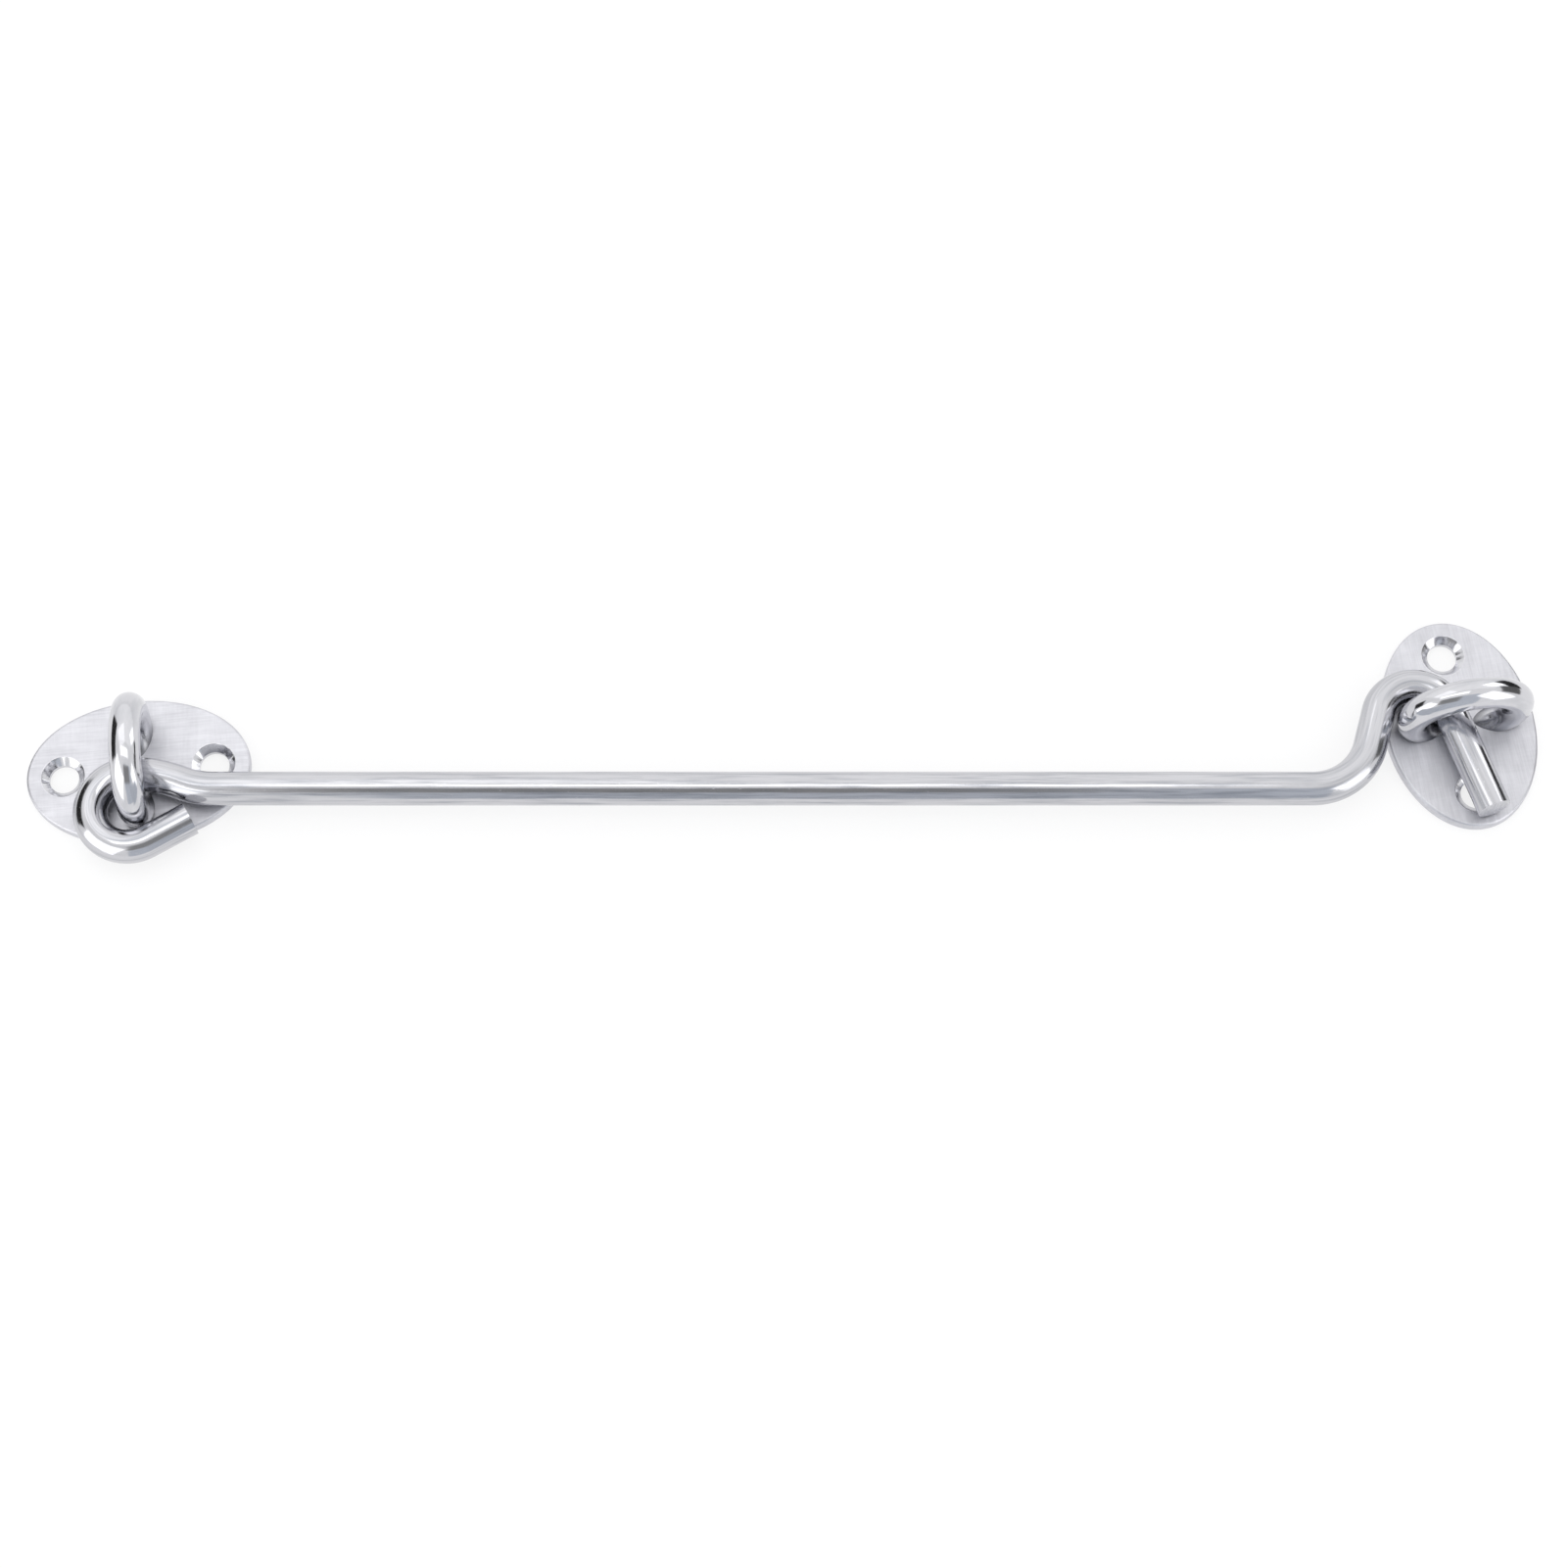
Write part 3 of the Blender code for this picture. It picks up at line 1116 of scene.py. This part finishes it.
@dataclass
class Plate:
    """An oval stamped plate: rolled front rim, sheared wall, two countersunk holes and two foot holes."""

    length: float = 39.8 * MM
    width: float = 27.1 * MM
    thickness: float = 2.0 * MM
    front_rounding: float = 0.5 * MM
    back_rounding: float = 0.15 * MM
    rounding_steps: int = 6
    sides: int = 240
    screw_spacing: float = 26.8 * MM
    screw_hole: float = 5.3 * MM
    countersink: float = 7.6 * MM
    lip: float = 0.12 * MM
    lip_slope: float = 3.0
    lip_margin: float = 1.01
    foot_spacing: float = 15.0 * MM
    foot_hole: float = 4.6 * MM
    hole_sides: int = 96
    past: float = 1.0 * MM

    def blank(self, name: str) -> bpy.types.Object:
        """The plate before its holes: rings laid inward from the oval outline, and two flat faces.

        Args:
            name: The piece's name.

        Returns:
            The blank in the plate's own frame.
        """
        quarter = [i * math.pi / 2 / self.rounding_steps for i in range(self.rounding_steps + 1)]
        inward = [1 - math.sin(t) for t in quarter]
        down = [1 - math.cos(t) for t in quarter]
        front = [
            (self.front_rounding * i, self.thickness - self.front_rounding * d)
            for i, d in zip(inward, down)
        ]
        back = [(self.back_rounding * d, self.back_rounding * i) for i, d in zip(inward, down)]
        turns = [2 * math.pi * i / self.sides for i in range(self.sides)]
        rings = []
        for inset, height in front + back:
            ring = []
            for turn in turns:
                out = Vector((math.cos(turn) / self.length, math.sin(turn) / self.width)).normalized()
                x = self.length / 2 * math.cos(turn) - inset * out.x
                y = self.width / 2 * math.sin(turn) - inset * out.y
                ring.append((x, y, height))
            rings.append(ring)
        return lofted(name, rings)

    def cutter(self, name: str, profile: list[tuple[float, float]]) -> bpy.types.Object:
        """A solid of revolution about Z, to cut a hole with.

        Args:
            name: The cutter's name.
            profile: Radius and height of each point, from the top down.

        Returns:
            The cutter, at the origin.
        """
        turns = [2 * math.pi * i / self.hole_sides for i in range(self.hole_sides)]
        rings = [
            [(radius * math.cos(turn), radius * math.sin(turn), height) for turn in turns]
            for radius, height in profile
        ]
        return lofted(name, rings)

    def screw_profile(self) -> list[tuple[float, float]]:
        """The countersunk hole, as a profile for cutter().

        Returns:
            Radius and height at the broken lip, the 90 degree cone, the land and the back.
        """
        sink, hole, top = self.countersink / 2, self.screw_hole / 2, self.thickness
        half_lip = self.lip / 2
        return [
            (sink + self.lip + self.past * self.lip_slope, top + self.past),
            (sink + self.lip, top),
            (sink + half_lip, top - half_lip / self.lip_slope),
            (sink, top - half_lip),
            (hole, top - half_lip - (sink - hole)),
            (hole, -self.past),
        ]

    @staticmethod
    @cache
    def punched_tree() -> Tree:
        """The tree that punches two screw holes along a plate and two foot holes across it.

        Returns:
            The tree, made on the first call.
        """
        tree, given = new_tree(
            "punched_plate",
            {
                "Screw Cutter": ("NodeSocketObject", None),
                "Screw Spacing": ("NodeSocketFloat", 26.8 * MM),
                "Foot Cutter": ("NodeSocketObject", None),
                "Foot Spacing": ("NodeSocketFloat", 15 * MM),
                "Finish": ("NodeSocketMaterial", None),
                "Hole Reach": ("NodeSocketFloat", 4 * MM),
                "Hole Finish": ("NodeSocketMaterial", None),
            },
        )
        punched = add_node(
            tree,
            "GeometryNodeMeshBoolean",
            {"Mesh 1": given["Geometry"]},
            operation="DIFFERENCE",
            solver="EXACT",
        )
        for kind, axis in (("Screw", 0), ("Foot", 1)):
            shape = add_node(tree, "GeometryNodeObjectInfo", {"Object": given[f"{kind} Cutter"]})
            holes = stood_twice(tree, shape.outputs["Geometry"], given[f"{kind} Spacing"], axis)
            tree.links.new(holes, punched.inputs["Mesh 2"])
        shaded = smooth_between_edges(tree, punched.outputs[0])
        spot = add_node(tree, "GeometryNodeInputPosition").outputs[0]
        x, y, z = add_node(tree, "ShaderNodeSeparateXYZ", {0: spot}).outputs
        out = add_node(tree, "ShaderNodeMath", {0: x}, operation="ABSOLUTE").outputs[0]
        screw = add_node(
            tree, "ShaderNodeMath", {0: given["Screw Spacing"], 1: -0.5, 2: out}, operation="MULTIPLY_ADD"
        ).outputs[0]
        from_screw = add_node(tree, "ShaderNodeCombineXYZ", {0: screw, 1: y, 2: z}).outputs[0]
        level = add_node(tree, "ShaderNodeCombineXYZ", {0: screw, 1: y}).outputs[0]
        reach = add_node(tree, "ShaderNodeVectorMath", {0: level}, operation="LENGTH").outputs["Value"]
        in_hole = add_node(
            tree, "FunctionNodeCompare", {0: reach, 1: given["Hole Reach"]}, operation="LESS_THAN"
        ).outputs[0]
        for name, value in ((SHEET_PLACE, spot), (HOLE_PLACE, from_screw)):
            shaded = add_node(
                tree,
                "GeometryNodeStoreNamedAttribute",
                {"Geometry": shaded, "Name": name, "Value": value},
                data_type="FLOAT_VECTOR",
                domain="POINT",
            ).outputs[0]
        finished = add_node(
            tree, "GeometryNodeSetMaterial", {"Geometry": shaded, "Material": given["Finish"]}
        ).outputs[0]
        finished = add_node(
            tree,
            "GeometryNodeSetMaterial",
            {"Geometry": finished, "Selection": in_hole, "Material": given["Hole Finish"]},
        ).outputs[0]
        add_node(tree, "NodeGroupOutput", {0: finished})
        return tree

    def build(
        self, side: Side, place: Matrix, finish: bpy.types.Material, hole_finish: bpy.types.Material
    ) -> bpy.types.Object:
        """Makes the plate and rides it on the plates' body.

        Args:
            side: Which end of the latch.
            place: Where the plate stands.
            finish: The plate's material.
            hole_finish: The material of its screw holes.

        Returns:
            The plate.
        """
        foot = self.foot_hole / 2
        low, high = -self.past, self.thickness + self.past
        screw = self.cutter("screw_cutter", self.screw_profile())
        foot_cutter = self.cutter("foot_cutter", [(foot, high), (foot, low)])
        values = {
            "Screw Cutter": screw,
            "Screw Spacing": self.screw_spacing,
            "Foot Cutter": foot_cutter,
            "Foot Spacing": self.foot_spacing,
            "Finish": finish,
            "Hole Reach": self.countersink / 2 + self.lip * self.lip_margin,
            "Hole Finish": hole_finish,
        }
        piece = grown(self.blank(f"{side.value}_backplate"), self.punched_tree(), values, weighted=True)
        bpy.data.objects.remove(screw)
        bpy.data.objects.remove(foot_cutter)
        piece.data.transform(place)
        settled(piece, f"{side.value}_plate", Body.PLATES)
        return piece


@dataclass(frozen=True)
class StudioPanel:
    """A flat rectangle in the air round the latch, turned to face a point.

    Its azimuth is counted from +X to +Y and its elevation from the table, both in degrees at that
    point. Its distance from it, its width and its height are in metres.
    """

    name: str
    faces: tuple[float, float, float]
    azimuth: float
    elevation: float
    distance: float
    width: float
    height: float
    level: float

    def stand(self, item: bpy.types.Object) -> None:
        """Puts the panel in its place, unseen by the camera itself.

        Args:
            item: The lamp or card, at the origin and facing up or down.
        """
        turn = Matrix.Rotation(math.radians(self.azimuth + 90), 4, "Z")
        tip = Matrix.Rotation(math.radians(90 - self.elevation), 4, "X")
        item.matrix_world = (
            Matrix.Translation(self.faces) @ turn @ tip @ Matrix.Translation((0, 0, self.distance))
        )
        item.visible_camera = False


@dataclass(frozen=True)
class SoftBox(StudioPanel):
    """A soft lamp, whose level is how much brighter than the white room its face looks."""

    def hang(self) -> None:
        """Adds the lamp to the scene."""
        light = bpy.data.lights.new(self.name, "AREA")
        light.shape = "RECTANGLE"
        light.size = self.width
        light.size_y = self.height
        light.energy = self.level * math.pi * self.width * self.height
        self.stand(in_scene(self.name, light))


@dataclass(frozen=True)
class GreyCard(StudioPanel):
    """A card that the metal reflects as a darker patch. It has soft edges and throws no shadow."""

    softness: float = 0.2
    colour: str = "#ffffff"

    def hang(self) -> None:
        """Adds the card to the scene."""
        x, y = self.width / 2, self.height / 2
        mesh = bpy.data.meshes.new(self.name)
        mesh.from_pydata([(-x, -y, 0), (x, -y, 0), (x, y, 0), (-x, y, 0)], [], [(0, 1, 2, 3)])
        material = bpy.data.materials.new(self.name)
        material.use_nodes = True
        tree = material.node_tree
        tree.nodes.clear()
        place = add_node(tree, "ShaderNodeTexCoord").outputs["Object"]
        parts = add_node(tree, "ShaderNodeSeparateXYZ", {0: place}).outputs
        inside = []
        for part, half in ((parts[0], x), (parts[1], y)):
            out = add_node(tree, "ShaderNodeMath", {0: part}, operation="ABSOLUTE").outputs[0]
            inside.append(
                add_node(
                    tree,
                    "ShaderNodeMapRange",
                    {"Value": out, "From Min": half, "From Max": half * (1 - self.softness)},
                    interpolation_type="SMOOTHSTEP",
                ).outputs[0]
            )
        cover = add_node(tree, "ShaderNodeMath", tuple(inside), operation="MULTIPLY").outputs[0]
        clear = add_node(tree, "ShaderNodeBsdfTransparent").outputs[0]
        glow = add_node(tree, "ShaderNodeEmission", (linear(self.colour), self.level)).outputs[0]
        mixed = add_node(tree, "ShaderNodeMixShader", {0: cover, 1: clear, 2: glow}).outputs[0]
        add_node(tree, "ShaderNodeOutputMaterial", {"Surface": mixed})
        mesh.materials.append(material)
        card = in_scene(self.name, mesh)
        card.visible_diffuse = False
        card.visible_transmission = False
        card.visible_shadow = False
        self.stand(card)


@dataclass
class Studio:
    """A pale table, soft lamps and the camera of the photograph."""

    target: tuple[float, float, float] = (115.06 * MM, -3.86 * MM, 5.0 * MM)
    distance: float = 556.5 * MM
    elevation: float = math.radians(68.1)
    lens: float = 72.24
    sensor: float = 36.0
    floor_drop: float = 0.1 * MM
    floor_size: float = 6.0
    floor_colour: str = "#f4f4f5"
    floor_glow: float = 0.75
    room_colour: str = "#ffffff"
    panels: tuple[StudioPanel, ...] = (
        SoftBox("top_strip", (0.06, 0.0, 0.0), 90, 90, 0.45, 0.40, 0.105, 1.2),
        SoftBox("back_box", MIDDLE, 90, 40, 0.60, 1.30, 0.80, 0.15),
        SoftBox("back_left_box", EYE_END, 112, 64, 0.45, 0.30, 0.26, 0.38),
        SoftBox("back_right_box", CATCH_END, 50, 30, 0.40, 0.16, 0.26, 0.9),
        SoftBox("front_left_box", EYE_END, 220, 28, 0.344, 0.34, 0.34, 1.0),
        SoftBox("front_right_box", CATCH_END, 325, 28, 0.344, 0.22, 0.34, 1.0),
        GreyCard("left_card", EYE_END, 160, 16, 0.24, 0.22, 0.19, 0.03),
        GreyCard("right_card", CATCH_END, 14, 20, 0.15, 0.10, 0.11, 0.14),
        GreyCard("right_low_card", CATCH_END, 44, 8, 0.16, 0.12, 0.09, 0.03, 0.3),
        GreyCard("front_card", (0.21, 0.0, 0.0), 270, 34, 0.50, 0.52, 0.78, 0.74, 0.12, "#f0f6ff"),
        GreyCard("upper_front_card", (0.085, 0.0, 0.0), 270, 55, 0.36, 0.29, 0.22, 0.32, 0.3),
        GreyCard("low_front_card", (0.12, 0.0, 0.0), 270, 1, 0.075, 0.19, 0.13, 0.66, 0.25, "#f0f6ff"),
    )

    def camera(self) -> None:
        """Stands the camera at the photograph's viewing angle and makes it the scene's."""
        data = bpy.data.cameras.new("studio_camera")
        data.lens = self.lens
        data.sensor_width = self.sensor
        made = in_scene("studio_camera", data)
        back = Vector((0, -math.cos(self.elevation), math.sin(self.elevation)))
        made.location = Vector(self.target) + back * self.distance
        made.rotation_euler = (-back).to_track_quat("-Z", "Y").to_euler()
        bpy.context.scene.camera = made

    def floor(self) -> None:
        """Lays the table just under the plates.

        It is white to the camera and in reflections, and keeps the latch's shadow.
        """
        half = self.floor_size / 2
        mesh = bpy.data.meshes.new("table")
        corners = [(-half, -half), (half, -half), (half, half), (-half, half)]
        mesh.from_pydata([(x, y, -self.floor_drop) for x, y in corners], [], [(0, 1, 2, 3)])
        material = bpy.data.materials.new("white_table")
        material.use_nodes = True
        tree = material.node_tree
        tree.nodes.clear()
        lit = add_node(tree, "ShaderNodeBsdfDiffuse", (linear(self.floor_colour),)).outputs[0]
        glow = add_node(tree, "ShaderNodeEmission", (linear(self.room_colour), 1.0)).outputs[0]
        path = add_node(tree, "ShaderNodeLightPath").outputs
        seen = path["Is Camera Ray"]
        for kind in ("Is Glossy Ray", "Is Transmission Ray"):
            seen = add_node(tree, "ShaderNodeMath", (seen, path[kind]), operation="MAXIMUM").outputs[0]
        share = add_node(tree, "ShaderNodeMath", (seen, self.floor_glow), operation="MULTIPLY").outputs[0]
        mixed = add_node(tree, "ShaderNodeMixShader", (share, lit, glow)).outputs[0]
        add_node(tree, "ShaderNodeOutputMaterial", {"Surface": mixed})
        mesh.materials.append(material)
        in_scene("table", mesh)

    def sky(self) -> None:
        """The white room round the table."""
        world = bpy.data.worlds.new("white_room")
        bpy.context.scene.world = world
        world.use_nodes = True
        tree = world.node_tree
        tree.nodes.clear()
        light = add_node(tree, "ShaderNodeBackground", (linear(self.room_colour), 1.0)).outputs[0]
        add_node(tree, "ShaderNodeOutputWorld", {"Surface": light})

    def build(self) -> None:
        """Builds the whole studio."""
        self.camera()
        self.floor()
        self.sky()
        for panel in self.panels:
            panel.hang()
        bpy.context.scene.view_settings.view_transform = "Standard"


def main() -> None:
    """Builds the latch, then the studio round it."""
    logging.basicConfig(level=logging.INFO, format="%(name)s %(message)s")
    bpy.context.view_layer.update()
    drawn = DrawnWire("drawn_stainless_wire", "#cacace", 0.13).material()
    sawn = SawnEnd("sawn_stainless_end", "#cfcfd3", 0.3).material()
    polished = PolishedWire("polished_stainless_wire", "#d1d1d5", 0.075).material()
    satin = SatinSheet("satin_stainless_sheet", "#d9d9de", 0.46).material()
    turned = TurnedHole("turned_stainless_hole", "#d1d1d5", 0.07).material()
    Hook().build(drawn, sawn)
    for side in Side:
        turn = Matrix.Rotation(PLATE_TURNS[side], 4, "Z")
        place = Matrix.Translation(PLATE_CENTRES[side]) @ turn
        plate = Plate().build(side, place, satin, turned)
        # Each staple stores painted shade where its plate stands close to it
        shelter(Staple().build(side, place, polished), plate)
    Studio().build()


if __name__ == "__main__":
    main()
